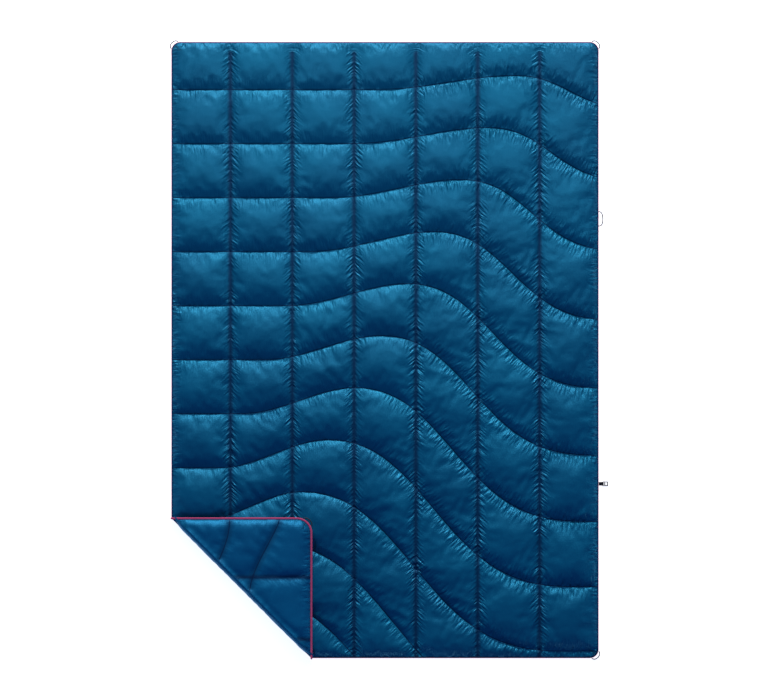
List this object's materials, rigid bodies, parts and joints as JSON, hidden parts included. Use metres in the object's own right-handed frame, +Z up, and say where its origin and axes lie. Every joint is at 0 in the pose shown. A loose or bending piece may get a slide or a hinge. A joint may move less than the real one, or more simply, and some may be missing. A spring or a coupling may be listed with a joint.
{
  "type": "quilted camp blanket",
  "caption": "Rectangular quilted camp blanket laid flat with one corner folded back, wave stitched baffles, piped hem, cord corner loops and a cape clip with its loop.",
  "frame": {"origin": "under the middle of the flat blanket, on its underside", "axes": "+X to the clip side, +Y to the head end, +Z up from the ground"},
  "size_m": [1.3551, 1.9146, 0.0505],
  "materials": {
    "face_fabric": "glossy calendered nylon, petrol blue",
    "back_fabric": "smooth nylon, slightly darker petrol blue",
    "fill": "white synthetic loose fibre",
    "thread": "navy polyester thread",
    "piping": "pinkish red folded tape",
    "cord": "black braided cord",
    "webbing": "black woven webbing",
    "plastic": "black moulded acetal, satin"
  },
  "bodies": {
    "quilt": {"back_shell": "back_fabric", "column_stitch_1": "thread", "column_stitch_2": "thread", "column_stitch_3": "thread", "column_stitch_4": "thread", "column_stitch_5": "thread", "column_stitch_6": "thread", "corner_loop_bottom_right": "cord", "corner_loop_top_left": "cord", "corner_loop_top_right": "cord", "edge_piping": "piping", "face_shell": "face_fabric", "fill_row_01": "fill", "fill_row_02": "fill", "fill_row_03": "fill", "fill_row_04": "fill", "fill_row_05": "fill", "fill_row_06": "fill", "fill_row_07": "fill", "fill_row_08": "fill", "fill_row_09": "fill", "fill_row_10": "fill", "fill_row_11": "fill", "fill_row_12": "fill", "wave_stitch_01": "thread", "wave_stitch_02": "thread", "wave_stitch_03": "thread", "wave_stitch_04": "thread", "wave_stitch_05": "thread", "wave_stitch_06": "thread", "wave_stitch_07": "thread", "wave_stitch_08": "thread", "wave_stitch_09": "thread", "wave_stitch_10": "thread", "wave_stitch_11": "thread"},
    "corner_flap": {"flap_back_shell": "back_fabric", "flap_column_stitch_1": "thread", "flap_column_stitch_2": "thread", "flap_corner_loop": "cord", "flap_face_shell": "face_fabric", "flap_fill_row_10": "fill", "flap_fill_row_11": "fill", "flap_fill_row_12": "fill", "flap_piping": "piping", "flap_wave_stitch_10": "thread", "flap_wave_stitch_11": "thread"},
    "cape_loop": {"cape_loop": "cord"},
    "clip_strap": {"clip_webbing": "webbing"},
    "snap_clip": {"clip_body": "plastic"},
    "clip_gate": {"clip_gate": "plastic"}
  },
  "joints": [
    {"name": "corner_fold", "type": "hinge", "parent": "quilt", "child": "corner_flap", "pos_m": [-0.442, -0.734, 0.0252], "axis": [0.7071, -0.7071, 0], "range_deg": [0, 180]},
    {"name": "cape_loop_swing", "type": "hinge", "parent": "quilt", "child": "cape_loop", "pos_m": [0.6645, 0.4055, 0.0045], "axis": [0, -1, 0], "range_deg": [0, 120]},
    {"name": "clip_strap_swing", "type": "hinge", "parent": "quilt", "child": "clip_strap", "pos_m": [0.6625, -0.4135, 0.0045], "axis": [0, -1, 0], "range_deg": [0, 90]},
    {"name": "clip_on_strap_swing", "type": "hinge", "parent": "clip_strap", "child": "snap_clip", "pos_m": [0.6738, -0.4135, 0.0022], "axis": [0, -1, 0], "range_deg": [0, 80]},
    {"name": "gate_press", "type": "hinge", "parent": "snap_clip", "child": "clip_gate", "pos_m": [0.68175, -0.40775, 0.0022], "axis": [0, 0, -1], "range_deg": [0, 25], "stiffness_Nm_per_rad": 0.02}
  ]
}
